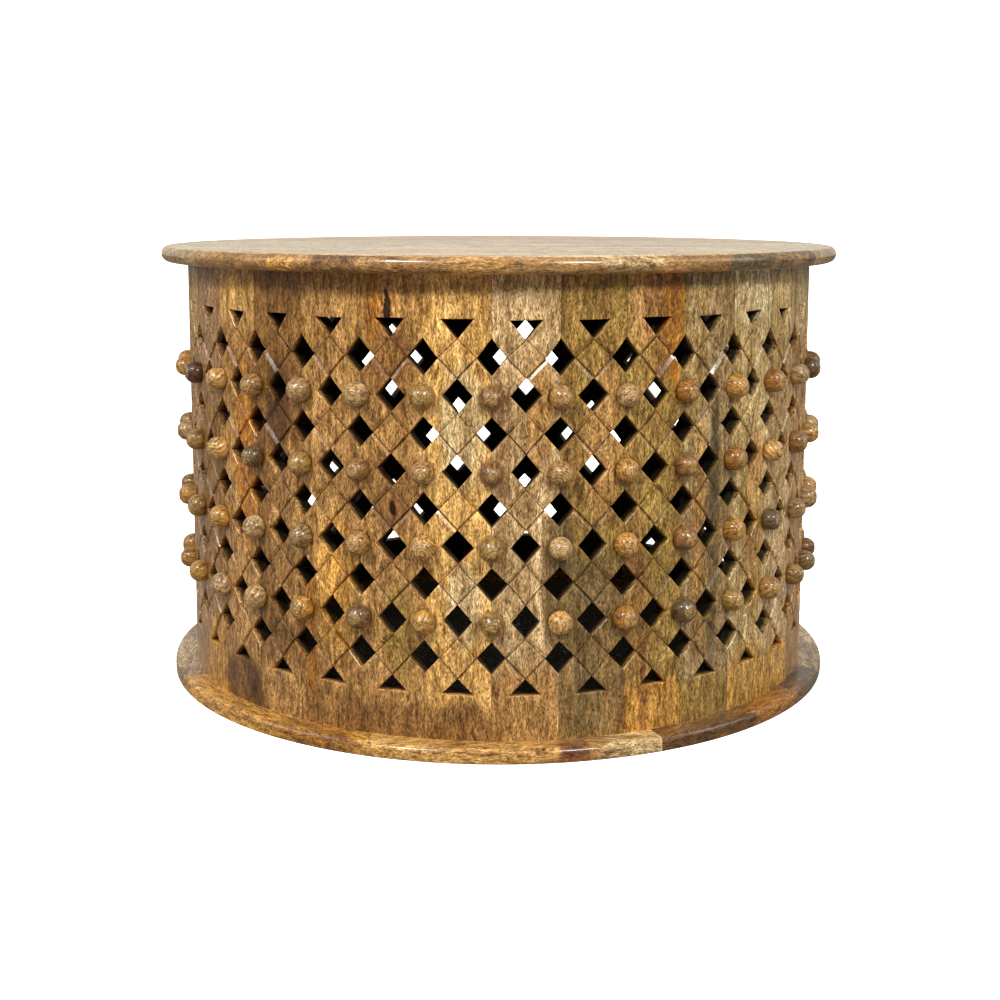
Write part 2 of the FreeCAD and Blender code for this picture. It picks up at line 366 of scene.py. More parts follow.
across, row = lattice_place(points_of(sheet))
depth, groove, wear = carving_depth(across, row)
for name, rows in {"carved": depth, "groove": groove, "wear": wear, "knobbed": np.ones(len(row))}.items():
    store(sheet, name, rows)
print(f"carved up to {depth.max() / MM:.1f} mm deep")

# %% [markdown]
# One extrusion gives the sheet its thickness and the holes their walls. The back needs no grid, so its
# faces are dissolved into large ones, and the front is pushed in by the depth of the carving.

# %% Thicken and carve the stave
WOOD_SHARP_ANGLE = radians(14)
FLAT_ANGLE = radians(1)

edit(sheet)
bpy.ops.mesh.extrude_region_move(TRANSFORM_OT_translate={"value": (0, STAVE_THICKNESS, 0)})
close_normals()
pick(sheet, "FACE", face_centres(sheet)[:, 1] > STAVE_THICKNESS - FINE)
bpy.ops.mesh.dissolve_limited(angle_limit=FLAT_ANGLE)
close_edit()

places = points_of(sheet)
on_face = places[:, 1] < STAVE_THICKNESS / 2
places[:, 1] = np.where(on_face, stored(sheet, "carved"), STAVE_THICKNESS)
move_points(sheet, places)
store(sheet, "inside", ~on_face)
print(len(sheet.data.polygons), "faces in a carved stave")

# %% [markdown]
# No two holes of a hand-cut lattice are alike. The solid diamonds are a little larger than the holes, and
# each row of each stave is a touch wider, higher or more tilted than the next. These errors are worked out
# as smooth shifts of the flat stave. They fade out at its edges, so that the half holes of two neighbours
# still meet at the seam.

# %% Cut each stave by hand
HOLE_PINCH = 0.03
END_PINCH_ROWS = (0.5, 1.5, ROW_COUNT - 1.5, ROW_COUNT - 0.5)
END_PINCH_SHARES = (-0.8, 1, 1, 1.6)
WIDTH_ERROR = 0.035
HEIGHT_ERROR = 0.9 * MM
TILT_ERROR = 1.1 * MM
ERROR_SIZES = np.array([[WIDTH_ERROR], [HEIGHT_ERROR], [TILT_ERROR]])
GROOVE_ERROR = 0.3
CELL_REACH = 0.98
CUTTER_SEED = 5


def hand_cut(places, errors):
    """Shift the points of a flat stave by its cutter's errors: three lines, with a number for each row."""
    across, row = lattice_place(places)
    wider, higher, tilt = (np.interp(row, range(ROW_COUNT + 1), line) for line in errors)
    inside = np.clip(1 - across ** 2, 0, 1)
    pinch = HOLE_PINCH * np.interp(row, END_PINCH_ROWS, END_PINCH_SHARES)
    pierced = np.abs(row - ROW_COUNT / 2) < ROW_COUNT / 2
    shifted = places.copy()
    shifted[:, 0] += STAVE_HALF_WIDTH * (wider - HOLE_PINCH * np.cos(pi * row)) * np.sin(pi * across)
    shifted[:, 2] += ROW_PITCH * pinch * np.sin(pi * row) * np.cos(pi * across) * pierced
    ends = np.interp(places[:, 2], (0, BOTTOM_BAND, LATTICE_HIGH, STAVE_LENGTH), (0, 1, 1, 0))
    shifted[:, 2] += (higher + tilt * across) * inside * ends
    return shifted


def strokes(places, cutter):
    """How much deeper or shallower a groove is, from -1 to 1. Each side of a diamond has its own stroke."""
    across, row = lattice_place(places)
    line = np.clip(np.floor(row).astype(int), 0, ROW_COUNT - 1)
    return cutter.uniform(-1, 1, (ROW_COUNT, 2))[line, (across > 0).astype(int)]


def cell_tones(places, cutter):
    """A shade for each engraved diamond, from -1 to 1, and none between them."""
    across, row = lattice_place(places)
    middle = np.clip(np.floor(row / 2).astype(int), 0, ROW_COUNT // 2 - 1)
    reach = np.abs(row - 2 * middle - 1) + np.abs(across)
    return np.where(reach < CELL_REACH, cutter.uniform(-1, 1, ROW_COUNT // 2)[middle], 0)


def bend(places):
    """Bend flat points round the drum: across becomes a turn, and depth a radius. The back stays flat."""
    turn = places[:, 0] / DRUM_RADIUS
    into = places[:, 1] / STAVE_THICKNESS
    radius = (1 - into) * DRUM_RADIUS + into * INNER_FLAT / np.cos(turn)
    return np.stack([radius * np.sin(turn), -radius * np.cos(turn), places[:, 2] + RING_HIGH], axis=1)


cutter = np.random.default_rng(CUTTER_SEED)
staves = {}
for number in range(1, STAVE_COUNT + 1):
    errors = cutter.uniform(-1, 1, (len(ERROR_SIZES), ROW_COUNT + 1)) * ERROR_SIZES
    stave = copy_of(sheet, f"carved_stave_{number:02d}")
    flat = hand_cut(points_of(stave), errors)
    flat[:, 1] *= 1 + stored(stave, "groove") * GROOVE_ERROR * strokes(points_of(stave), cutter)
    store(stave, "cell", cell_tones(points_of(stave), cutter))
    store(stave, "board", flat, "FLOAT_VECTOR")
    move_points(stave, bend(flat))
    stave.data.transform(Matrix.Rotation(stave_turn(number), 4, "Z"))
    smooth(stave, WOOD_SHARP_ANGLE)
    staves[f"stave_{number:02d}"] = stave
drop(sheet)
print(len(staves), "staves stand round the drum")

# %% [markdown]
# The knobs were turned on a lathe. A turner works along the knob and changes its radius, and so does this
# cell: a circle is extruded upwards step by step and resized to the radius of the profile.

# %% Turn a knob
KNOB_SIDES = 24
KNOB_SINK = 0.6 * MM
KNOB_PROFILE = tuple((radius * MM, height * MM) for radius, height in (
    (10.2, -0.6), (10.8, 0.6), (12.0, 2.2), (12.4, 4.8), (12.1, 8.4), (11.2, 11.4),
    (9.7, 13.9), (7.8, 15.7), (6.9, 16.1), (6.3, 16.9), (4.4, 17.6),
))
KNOB_HEIGHT = 18 * MM
KNOB_CAP = 16 * MM
KNOB_SHARP_ANGLE = radians(60)

first_radius, first_height = KNOB_PROFILE[0]
foot = {"radius": first_radius, "location": (0, 0, first_height), "fill_type": "NGON"}
knob = started(bpy.ops.mesh.primitive_circle_add, "knob_pattern", vertices=KNOB_SIDES, **foot)
edit(knob)
for (radius, height), (next_radius, next_height) in zip(KNOB_PROFILE, KNOB_PROFILE[1:]):
    bpy.ops.mesh.extrude_region_move(TRANSFORM_OT_translate={"value": (0, 0, next_height - height)})
    share = next_radius / radius
    bpy.ops.transform.resize(value=(share, share, 1), center_override=(0, 0, next_height))
bpy.ops.mesh.extrude_region_move(TRANSFORM_OT_translate={"value": (0, 0, KNOB_HEIGHT - KNOB_PROFILE[-1][1])})
bpy.ops.mesh.merge(type="CENTER")
close_normals()
store(knob, "cap", points_of(knob)[:, 2] > KNOB_CAP)
smooth(knob, KNOB_SHARP_ANGLE)
print(len(knob.data.polygons), "faces in a knob")

# %% [markdown]
# Four rings of knobs go round the drum, one knob on every seam. Each knob is a copy that is turned about the
# drum's axis, and a ring is joined into one piece, because a ring is one piece of the frame too. The grain
# runs along a knob, but each one was cut from its own stick, so its pith lies beside its middle and leans
# a little, by chance. The knobs differ a little in size too, as hand work does.

# %% Set the knobs on the seams
KNOB_ROWS = range(2, ROW_COUNT, 2)
PITH_SPREAD = 7 * MM
PITH_LEAN = 0.5
KNOB_SIZE_SPREAD = 0.06
TURNER_SEED = 7

chance = random.Random(TURNER_SEED)
knob_rings = {}
for ring, knob_row in enumerate(KNOB_ROWS, start=1):
    knobs = []
    height = RING_HIGH + LATTICE_HIGH - knob_row * ROW_PITCH
    for number in range(1, STAVE_COUNT + 1):
        size = 1 + chance.uniform(-KNOB_SIZE_SPREAD, KNOB_SIZE_SPREAD)
        seat = (
            Matrix.Rotation(stave_turn(number + 0.5), 4, "Z")
            @ Matrix.Translation((0, -DRUM_RADIUS + KNOB_SINK, height))
            @ Matrix.Rotation(pi / 2, 4, "X")
        )
        turned = copy_of(knob, f"knob_{ring}_{number}")
        pith = [chance.gauss(0, PITH_SPREAD), chance.gauss(0, PITH_SPREAD), 0]
        spin = Matrix.Rotation(chance.uniform(0, FULL_TURN), 3, "Z")
        lean = Matrix.Rotation(chance.gauss(0, PITH_LEAN), 3, "X")
        store(turned, "board", points_of(turned) @ np.array(spin @ lean).T + pith, "FLOAT_VECTOR")
        turned.data.transform(seat @ Matrix.Diagonal((size, size, 1, 1)))
        knobs.append(turned)
    knob_rings[f"knob_ring_{ring}"] = knobs
drop(knob)
print(sum(map(len, knob_rings.values())), "knobs on the seams")

# %% [markdown]
# The top is glued up from planks first and turned to a disc afterwards, so the round rim runs on from plank
# to plank. In the model the disc comes first: a cylinder gets its full round rim from one bevel. Slices
# across it give the colour of the wood more places to change.

# %% Turn the top
ROUND_SIDES = 256
RIM_SEGMENTS = 8
RIM_FLAT = 0.4 * MM
RIM_SUPPORT = 1.5 * MM
COLOUR_STEP = 25 * MM


def turned_blank(name, radius, low, high):
    """A round blank between two heights, still with square rims."""
    sizes = {"vertices": ROUND_SIDES, "radius": radius, "depth": high - low}
    return started(bpy.ops.mesh.primitive_cylinder_add, name, location=(0, 0, (low + high) / 2), **sizes)


def edges_at(blank, height):
    """Marks the edges of a rim at one height."""
    near = np.abs(points_of(blank)[:, 2] - height) < FINE
    return near[rows_of(blank.data.edges, "vertices", 2, int)].all(axis=1)


def round_rim(blank, heights, radius, segments):
    """Bevel the rims at some heights to a round of the radius."""
    chosen = np.logical_or.reduce([edges_at(blank, height) for height in heights])
    pick(blank, "EDGE", chosen)
    bpy.ops.mesh.bevel(offset=radius, segments=segments, affect="EDGES")
    close_edit()


def support_caps(blank, heights):
    """Inset the flat caps a little, so that the shading of the rim stops there."""
    level = face_centres(blank)[:, 2]
    pick(blank, "FACE", np.logical_or.reduce([np.abs(level - height) < FINE for height in heights]))
    bpy.ops.mesh.inset(thickness=RIM_SUPPORT)
    close_edit()


def slice_across(board, reach):
    """Slice a board across, up to the reach on both sides of its middle."""
    edit(board)
    count = ceil(reach / COLOUR_STEP)
    for step in range(-count + 1, count):
        slice_at((step * COLOUR_STEP, 0, 0), (1, 0, 0))
    close_edit()


disc = turned_blank("top_disc", TOP_RADIUS, TOP_LOW, TOP_HIGH)
round_rim(disc, (TOP_LOW, TOP_HIGH), (TOP_HIGH - TOP_LOW - RIM_FLAT) / 2, RIM_SEGMENTS)
support_caps(disc, (TOP_LOW, TOP_HIGH))
slice_across(disc, TOP_RADIUS)
print(len(disc.data.polygons), "faces in the top's disc")

# %% [markdown]
# Each plank is a copy of the disc, cut along its two glue lines. The panel was a little wider than the disc
# that was turned from it, so the outer planks have lost some of their width.

# %% Saw the top into planks
RIM_SHADE_DEPTHS = (0.05 * MM, 1 * MM)
PANEL_OVERRUN = 3 * MM
PLANK_WIDTH = 2 * (TOP_RADIUS + PANEL_OVERRUN) / PLANK_COUNT


def plank_edge(number):
    """The front edge of a plank, on the y axis. Plank 1 is at the front."""
    return (number - 1) * PLANK_WIDTH - TOP_RADIUS - PANEL_OVERRUN


def sawn(blank, name, cuts):
    """A copy of a blank, cut by planes that each take away the side their normal points to."""
    board = copy_of(blank, name)
    edit(board)
    for place, normal in cuts:
        slice_at(place, normal, clear=True, fill=True)
    close_normals()
    return board


planks = {}
for number in range(1, PLANK_COUNT + 1):
    glue_lines = [
        ((0, plank_edge(number), 0), (0, -1, 0)),
        ((0, plank_edge(number + 1), 0), (0, 1, 0)),
    ]
    plank = sawn(disc, f"rounded_plank_{number}", glue_lines)
    x, y, z = points_of(plank).T
    across = y - plank_edge(number) - PLANK_WIDTH / 2
    store(plank, "board", np.stack([across, TOP_HIGH - z, x], axis=1), "FLOAT_VECTOR")
    store(plank, "rim", np.interp(TOP_HIGH - z, RIM_SHADE_DEPTHS, (0, 1)))
    smooth(plank, WOOD_SHARP_ANGLE)
    planks[f"top_plank_{number}"] = plank
drop(disc)
print(len(planks), "planks", f"{PLANK_WIDTH / MM:.1f} mm wide")

# %% [markdown]
# The base ring is mitred: each board is a trapezium with slanting ends, and the ring was turned round
# outside after glueing. Inside the drum the boards were left straight, and they reach just past the glue
# blocks. So the pattern of a board is a sector of a round blank, cut by two mitres and a straight edge.

# %% Turn the base ring and mitre it
RING_EDGE_ROUND = 6 * MM
RING_ARRIS = 0.8 * MM
ARRIS_SEGMENTS = 2
RING_LIP = 2 * MM
BLOCK_WIDTH = 30 * MM
RING_OPENING = INNER_FLAT - BLOCK_WIDTH - RING_LIP
BOARD_TURN = FULL_TURN / BOARD_COUNT

blank = turned_blank("ring_blank", RING_RADIUS, 0, RING_HIGH)
round_rim(blank, (RING_HIGH,), RING_EDGE_ROUND, RIM_SEGMENTS)
round_rim(blank, (0,), RING_ARRIS, ARRIS_SEGMENTS)
support_caps(blank, (0, RING_HIGH))

cuts = []
for side in (-1, 1):
    mitre = Matrix.Rotation(side * BOARD_TURN / 2, 3, "Z") @ Vector((side, 0, 0))
    cuts.append(((0, 0, 0), mitre))
cuts.append(((0, -RING_OPENING, 0), (0, 1, 0)))
pattern = sawn(blank, "ring_board_pattern", cuts)
slice_across(pattern, RING_RADIUS * tan(BOARD_TURN / 2))
x, y, z = points_of(pattern).T
store(pattern, "board", np.stack([y + RING_RADIUS, RING_HIGH - z, x], axis=1), "FLOAT_VECTOR")
smooth(pattern, WOOD_SHARP_ANGLE)

ring_boards = {}
for number in range(1, BOARD_COUNT + 1):
    board = copy_of(pattern, f"rounded_ring_board_{number}")
    board.data.transform(Matrix.Rotation((number - 1) * BOARD_TURN, 4, "Z"))
    ring_boards[f"ring_board_{number}"] = board
drop(pattern)
drop(blank)
print(len(ring_boards), "mitred boards in the ring")

# %% [markdown]
# Glue blocks stiffen the corners inside the drum. They are plain offcuts with their sharp edges taken off,
# and each one lies on the flat back of a stave.

# %% Glue blocks
BLOCK_SIZE = Vector((56 * MM, BLOCK_WIDTH, 30 * MM))
BLOCK_COUNT = 8
BLOCK_ARRIS = 1.2 * MM
BLOCK_SHARP_ANGLE = radians(50)


def glue_block(name):
    """One block, with its foot at zero and its back against the drum's front."""
    middle = (0, BLOCK_SIZE.y / 2 - INNER_FLAT, BLOCK_SIZE.z / 2)
    block = started(bpy.ops.mesh.primitive_cube_add, name, size=1, location=middle, scale=BLOCK_SIZE)
    edit(block)
    bpy.ops.mesh.bevel(offset=BLOCK_ARRIS, segments=ARRIS_SEGMENTS, affect="EDGES")
    close_edit()
    x, y, z = points_of(block).T
    store(block, "board", np.stack([z, y, x], axis=1), "FLOAT_VECTOR")
    smooth(block, BLOCK_SHARP_ANGLE)
    return block


blocks = {}
backed_staves = [floor(number * STAVE_COUNT / BLOCK_COUNT + 1 / 2) + 1 for number in range(BLOCK_COUNT)]
for node, foot in (("top_glue_blocks", TOP_LOW - BLOCK_SIZE.z), ("base_glue_blocks", RING_HIGH)):
    pattern = glue_block(f"{node}_pattern")
    blocks[node] = []
    for stave in backed_staves:
        block = copy_of(pattern, f"{node}_{stave}")
        block.data.transform(Matrix.Translation((0, 0, foot)) @ Matrix.Rotation(stave_turn(stave), 4, "Z"))
        blocks[node].append(block)
    drop(pattern)
print("blocks on the staves", backed_staves)

# %% [markdown]
# Mango wood is sold for its mixed colours: one board is honey, the next is grey or nearly orange, and both
# can change along their length. A few wood tones are named here, as they look on the finished table. Each
# piece then gets a main tone, another tone for its figure, and patches of other tones.

# %% Wood tones
DISPLAY_WHITE = 255


def tone(red, green, blue):
    """A display colour as the linear colour that shaders work with."""
    display = Color((red / DISPLAY_WHITE, green / DISPLAY_WHITE, blue / DISPLAY_WHITE))
    return tuple(display.from_srgb_to_scene_linear())


TONES = {
    "cream": tone(200, 174, 128),
    "pale": tone(196, 164, 112),
    "honey": tone(204, 154, 84),
    "golden": tone(190, 136, 60),
    "amber": tone(158, 102, 34),
    "orange": tone(172, 108, 38),
    "tan": tone(170, 124, 68),
    "rosy": tone(164, 124, 88),
    "fawn": tone(184, 148, 100),
    "brown": tone(134, 92, 46),
    "dark": tone(92, 60, 28),
    "olive": tone(148, 114, 54),
    "grey": tone(150, 120, 78),
    "moss": tone(118, 92, 52),
    "slate": tone(94, 74, 44),
    "russet": tone(120, 68, 34),
    "walnut": tone(70, 40, 28),
}
FAR_AWAY = (9, 9, 9)
RIM_PATCH = 0.6
SEED_REACH = 5


def dress(piece, main, figure, patches=(), knots=(), half_width=FAR_AWAY[0], rim=None):
    """Give a piece its tones. A patch is a tone, its place across and along, and its reach both ways, in
    millimetres. A knot is a place across, into and along the board, and a size. Half the width says where
    the glue lines are. Where a rim tone is given, it and the patches keep to the rim."""
    count = len(piece.data.vertices)
    board = rows_of(piece.data.attributes["board"].data, "vector", 3, np.float32)
    across, _, along = board.T / MM
    near_rim = stored(piece, "rim") if rim else np.ones(count)
    patch = near_rim * RIM_PATCH if rim else np.zeros(count)
    patch_tone = np.tile(np.array(TONES[rim or main]), (count, 1))
    for name, at_across, at_along, reach_across, reach_along in patches:
        amount = np.exp(-((across - at_across) / reach_across) ** 2 - ((along - at_along) / reach_along) ** 2)
        amount *= near_rim
        stronger = amount > patch
        patch[stronger] = amount[stronger]
        patch_tone[stronger] = TONES[name]
    seed = [chance.uniform(-SEED_REACH, SEED_REACH) for _ in range(3)]
    spots = [tuple(part * MM for part in knot[:3]) for knot in knots] + [FAR_AWAY, FAR_AWAY]
    rates = [1 / knot[3] for knot in knots] + [1, 1]

    for name, rows in {"tone": TONES[main], "figure": TONES[figure], "patch_tone": patch_tone}.items():
        colours = np.hstack([np.broadcast_to(rows, (count, 3)), np.ones((count, 1))])
        store(piece, name, colours, "FLOAT_COLOR")
    for name, place in {"seed": seed, "knot": spots[0], "second_knot": spots[1]}.items():
        store(piece, name, np.broadcast_to(place, (count, 3)), "FLOAT_VECTOR")
    store(piece, "patch", patch)
    store(piece, "half_width", np.full(count, half_width))
    store(piece, "knot_rate", np.full(count, rates[0]))
    store(piece, "second_knot_rate", np.full(count, rates[1]))


print(len(TONES), "tones of mango wood")

# %% [markdown]
# Shader maths reads better as sums than as a long list of nodes. A small class wraps the output of a node
# and turns a sum into Math nodes. Every other node comes from one method, and shorter ones call it.

# %% Shader maths
class Socket:
    """The output of a shader node, which can stand in a sum."""

    def __init__(self, shader, output):
        self.shader = shader
        self.output = output

    def __add__(self, other):
        return self.shader.maths("ADD", self, other)

    def __sub__(self, other):
        return self.shader.maths("SUBTRACT", self, other)

    def __rsub__(self, other):
        return self.shader.maths("SUBTRACT", other, self)

    def __mul__(self, other):
        return self.shader.maths("MULTIPLY", self, other)

    __radd__ = __add__
    __rmul__ = __mul__


class Shader:
    """The nodes of a material or of the world."""

    def __init__(self, owner):
        owner.use_nodes = True
        self.tree = owner.node_tree
        self.tree.nodes.clear()

    def node(self, kind, settings, sockets, output=0):
        """Add a node: its settings first, then the values or links of its sockets."""
        node = self.tree.nodes.new(f"ShaderNode{kind}")
        for name, value in settings.items():
            setattr(node, name, value)
        for name, value in sockets.items():
            if isinstance(value, Socket):
                self.tree.links.new(value.output, node.inputs[name])
            else:
                node.inputs[name].default_value = value
        return Socket(self, node.outputs[output]) if node.outputs else node

    def maths(self, operation, *values):
        return self.node("Math", {"operation": operation}, dict(enumerate(values)))

    def vector(self, operation, *values):
        return self.node("VectorMath", {"operation": operation}, dict(enumerate(values)))

    def attribute(self, name, output="Vector"):
        return self.node("Attribute", {"attribute_name": name}, {}, output)

    def length(self, place):
        return self.node("VectorMath", {"operation": "LENGTH"}, {0: place}, "Value")

    def ripples(self, distance, width):
        """Rings that rise from nothing to one and fall again, one width apart."""
        return self.maths("SINE", distance * (FULL_TURN / width)) * 0.5 + 0.5

    def steps(self, value, low, high):
        """Nothing below low, all above high, and a smooth rise between."""
        ends = {"Value": value, "From Min": low, "From Max": high}
        return self.node("MapRange", {"interpolation_type": "SMOOTHSTEP"}, ends)

    def blend(self, amount, first, second):
        """A mix of two colours."""
        return self.node("Mix", {"data_type": "RGBA"}, {0: amount, 6: first, 7: second}, output=2)

    def scale(self, colour, amount):
        """A colour made lighter or darker."""
        return self.node("VectorMath", {"operation": "SCALE"}, {0: colour, "Scale": amount})

    def noise(self, place, across, along, detail, roughness=0.5, output="Fac"):
        """Noise that is stretched along the grain. Across and along say how often it changes in a metre."""
        stretched = self.vector("MULTIPLY", place, (across, across, along))
        sockets = {"Vector": stretched, "Scale": 1, "Detail": detail, "Roughness": roughness}
        return self.node("TexNoise", {}, sockets, output)


# %% [markdown]
# The wood is a solid pattern, so it runs through holes, carved lines and round rims as real wood does. It is
# built from slow changes to quick ones: drifting colour, bands of figure, long pale streaks, fibres that are
# dark and reddish on one side and pale on the other, and fine flecks and pores. All of them are noise,
# stretched along the grain and bent by a slow wave and a quick one. A Wave texture gives bands too, but
# its spacing is too even for wood.

# %% Grain of mango wood
NOISE_MIDDLE = 0.5
SLOW_WAVE_RATE = (24, 8)
SLOW_WAVE = 16 * MM
QUICK_WAVE_RATE = (50, 40)
QUICK_WAVE = 9 * MM
# Changes in a metre across and along the grain, and the detail and roughness of the noise.
LAYERS = {
    "drift": (16, 2.4, 2),
    "bands": (75, 5, 3),
    "light": (38, 7, 2),
    "grain": (250, 50, 5, 0.7),
    "flecks": (860, 260, 1),
    "pores": (900, 120, 1),
}
FLECK_STRENGTH = 3.1
PORE_EDGE = (0.58, 0.72)
PORE_SHADE = 0.3
PATCH_STIR = {"grain": 0.8, "bands": 0.6}
PATCH_EDGE = (0.3, 0.62)
BAND_SHARE = 0.65
FIGURE_EDGE = (0.44, 0.64)
FIGURE_STRENGTH = 0.65
LIGHT_EDGE = (0.46, 0.66)
LIGHT_STRENGTH = 0.75
PALE_STREAK = (1.42, 1.48, 1.66)
FIBRE_STRENGTH = 3.8
DARK_FIBRE = (0.42, 0.35, 0.22, 1)
PALE_FIBRE = (1.58, 1.72, 1.86, 1)


def grain_place(wood, board):
    """Where a point lies in the wood, bent by the waves of the grain."""
    seeded = wood.vector("ADD", board, wood.attribute("seed"))
    place = seeded
    for rate, size in ((SLOW_WAVE_RATE, SLOW_WAVE), (QUICK_WAVE_RATE, QUICK_WAVE)):
        wave = wood.noise(seeded, *rate, detail=2, output="Color")
        centred = wood.vector("SUBTRACT", wave, (NOISE_MIDDLE,) * 3)
        place = wood.vector("MULTIPLY_ADD", centred, (size, size, 0), place)
    return place


def fibred(wood, colour, fibres, strength):
    """Tint a colour by its fibres: dark and reddish, or pale."""
    tint = wood.blend(NOISE_MIDDLE + (fibres - NOISE_MIDDLE) * strength, DARK_FIBRE, PALE_FIBRE)
    return wood.vector("MULTIPLY", colour, tint)


def stirred(mask, grain, bands, stir):
    """A mask or a distance, stirred by the grain and the bands."""
    return mask + (grain - NOISE_MIDDLE) * stir["grain"] + (bands - NOISE_MIDDLE) * stir["bands"]


def grained(wood, place):
    """The colour of the plain wood, with the grain, the bands and the pores that it follows."""
    drift, bands, light, grain, flecks, pores = (wood.noise(place, *layer) for layer in LAYERS.values())
    pores = wood.steps(pores, *PORE_EDGE)
    patch = stirred(wood.attribute("patch", "Fac"), grain, bands, PATCH_STIR)
    main, patched = wood.attribute("tone", "Color"), wood.attribute("patch_tone", "Color")
    colour = wood.blend(wood.steps(patch, *PATCH_EDGE), main, patched)
    figure = wood.steps(bands * BAND_SHARE + drift * (1 - BAND_SHARE), *FIGURE_EDGE)
    colour = wood.blend(figure * FIGURE_STRENGTH, colour, wood.attribute("figure", "Color"))
    streaks = wood.steps(light, *LIGHT_EDGE) * LIGHT_STRENGTH
    colour = wood.blend(streaks, colour, wood.vector("MULTIPLY", colour, PALE_STREAK))
    colour = fibred(wood, colour, grain, FIBRE_STRENGTH)
    colour = wood.scale(colour, 1 + (flecks - NOISE_MIDDLE) * FLECK_STRENGTH)
    return wood.scale(colour, 1 - pores * PORE_SHADE), grain, bands, pores


print("layers of the wood:", ", ".join(LAYERS))

# %% [markdown]
# A knot is the root of a branch. The grain flows round it, it has a dark heart with thin rings, and the wood
# beside it is redder. The distance from the knot, stirred by the grain, draws all of this.

# %% Knots
KNOT_STRETCH = (1, 1, 0.5)
KNOT_SWIRL = 15 * MM
KNOT_PULL = 0.8
KNOT_STIR = {"grain": 22 * MM, "bands": 26 * MM}
KNOT_RING = 3.6 * MM
KNOT_RING_SHADE = 0.35
KNOT_REACH = 9 * MM
KNOT_HALO = (0.9, 0.62, 0.4)
KNOT_HALO_STRENGTH = 0.75
KNOT_HEART = (1 * MM, 2.8 * MM)
KNOT_HEART_STRENGTH = 0.94
KNOT_TONE = (*tone(26, 12, 8), 1)


def swirled(wood, board):
    """Pull the grain in round both knots. Gives the new places and the distances from the knots."""
    distances = []
    places = board
    for spot in ("knot", "second_knot"):
        apart = wood.vector("MULTIPLY", wood.vector("SUBTRACT", board, wood.attribute(spot)), KNOT_STRETCH)
        distance = wood.length(apart) * wood.attribute(f"{spot}_rate", "Fac")
        near = wood.maths("EXPONENT", distance * distance * (-1 / KNOT_SWIRL ** 2))
        places = wood.vector("SUBTRACT", places, wood.scale(apart, near * KNOT_PULL))
        distances.append(distance)
    return places, distances


def knotted(wood, colour, distances, grain, bands):
    """Draw the knots over a colour. Gives the colour, and what their hearts leave of the polish."""
    polish = 1
    for distance in distances:
        bent = stirred(distance, grain, bands, KNOT_STIR)
        rings = wood.ripples(bent, KNOT_RING)
        near = wood.maths("MINIMUM", wood.maths("EXPONENT", bent * (-1 / KNOT_REACH)), 1)
        halo = wood.vector("MULTIPLY", colour, KNOT_HALO)
        colour = wood.blend(near * KNOT_HALO_STRENGTH, colour, halo)
        colour = wood.scale(colour, 1 - near * rings * KNOT_RING_SHADE)
        heart = 1 - wood.steps(bent, *KNOT_HEART)
        colour = wood.blend(heart * KNOT_HEART_STRENGTH, colour, KNOT_TONE)
        polish = polish * (1 - heart)
    return colour, polish


print(f"the rings of a knot are {KNOT_RING / MM:.1f} mm apart")

# %% [markdown]
# A thin glue line runs down each seam, and edges that hands rub are lighter. Painted shade darkens the foot
# of each knob and the carved lines, and darkens the wood inside a hole more the deeper it lies, as well as
# the drum's inside; that wood is bare too. The pieces' attributes say where all this is.

# %% Glue, wear and painted shade
GLUE_LINE = (0.28 * MM, 0.7 * MM)
# The same darkening marks the glue lines and paints contact shade round the foot of each knob.
GLUE_AND_KNOB_SHADE = 0.4
KNOB_SHADE_REACH = (11.6 * MM, 15 * MM)
# Painted shade: wood inside the holes darkens with depth, and the drum's inside face is darkened too.
BARE_AND_SHADE_EDGE = (0, 0.55)
PAINTED_HOLE_SHADE = 0.94
# Painted shade at the bottom of the carved lines.
PAINTED_GROOVE_SHADE_EDGE = (0.7, 1)
PAINTED_GROOVE_SHADE = 0.82
WEAR_LIGHT = 0.3
CELL_CONTRAST = 0.09


def glue_and_knob_shade(wood, board):
    """One on the glue lines and in a ring of painted contact shade round each knob, and nothing elsewhere."""
    across = wood.maths("ABSOLUTE", wood.node("SeparateXYZ", {}, {"Vector": board}, "X"))
    from_seam = wood.attribute("half_width", "Fac") - across
    seam = 1 - wood.steps(from_seam, *GLUE_LINE)
    row = (LATTICE_HIGH - wood.node("SeparateXYZ", {}, {"Vector": board}, "Z")) * (1 / ROW_PITCH)
    from_row = wood.maths("PINGPONG", row, 1) * ROW_PITCH
    from_knob = wood.maths("SQRT", from_seam * from_seam + from_row * from_row)
    knob_rows = wood.maths("COMPARE", row, ROW_COUNT / 2, ROW_COUNT / 2 - 1)
    # Painted contact shade in a ring round the foot of each knob.
    knob_shade = knob_rows * wood.attribute("knobbed", "Fac") * (1 - wood.steps(from_knob, *KNOB_SHADE_REACH))
    return wood.maths("MAXIMUM", seam, knob_shade)


def used_and_shaded(wood, colour, board, bare_and_shade):
    """Darken and lighten a colour for glue lines, wear and the diamonds' tones, and with painted shade in the
    holes, the carved lines and round the knobs.
    """
    # Painted shade at the bottom of the carved lines.
    groove = wood.steps(wood.attribute("groove", "Fac"), *PAINTED_GROOVE_SHADE_EDGE)
    dark = (1 - bare_and_shade * PAINTED_HOLE_SHADE) * (1 - glue_and_knob_shade(wood, board) * GLUE_AND_KNOB_SHADE) * (1 - groove * PAINTED_GROOVE_SHADE)
    light = 1 + wood.attribute("wear", "Fac") * WEAR_LIGHT
    return wood.scale(colour, dark * light * (1 + wood.attribute("cell", "Fac") * CELL_CONTRAST))


print(f"glue lines {GLUE_LINE[1] / MM:.1f} mm wide on each side of a seam")

# %% [markdown]
# Clear lacquer lies over the wood as a coat, a second and smoother reflection on top of the wood's own. It
# ends inside the holes, where no brush reaches, and it is thin on worn edges and on the hearts of knots.

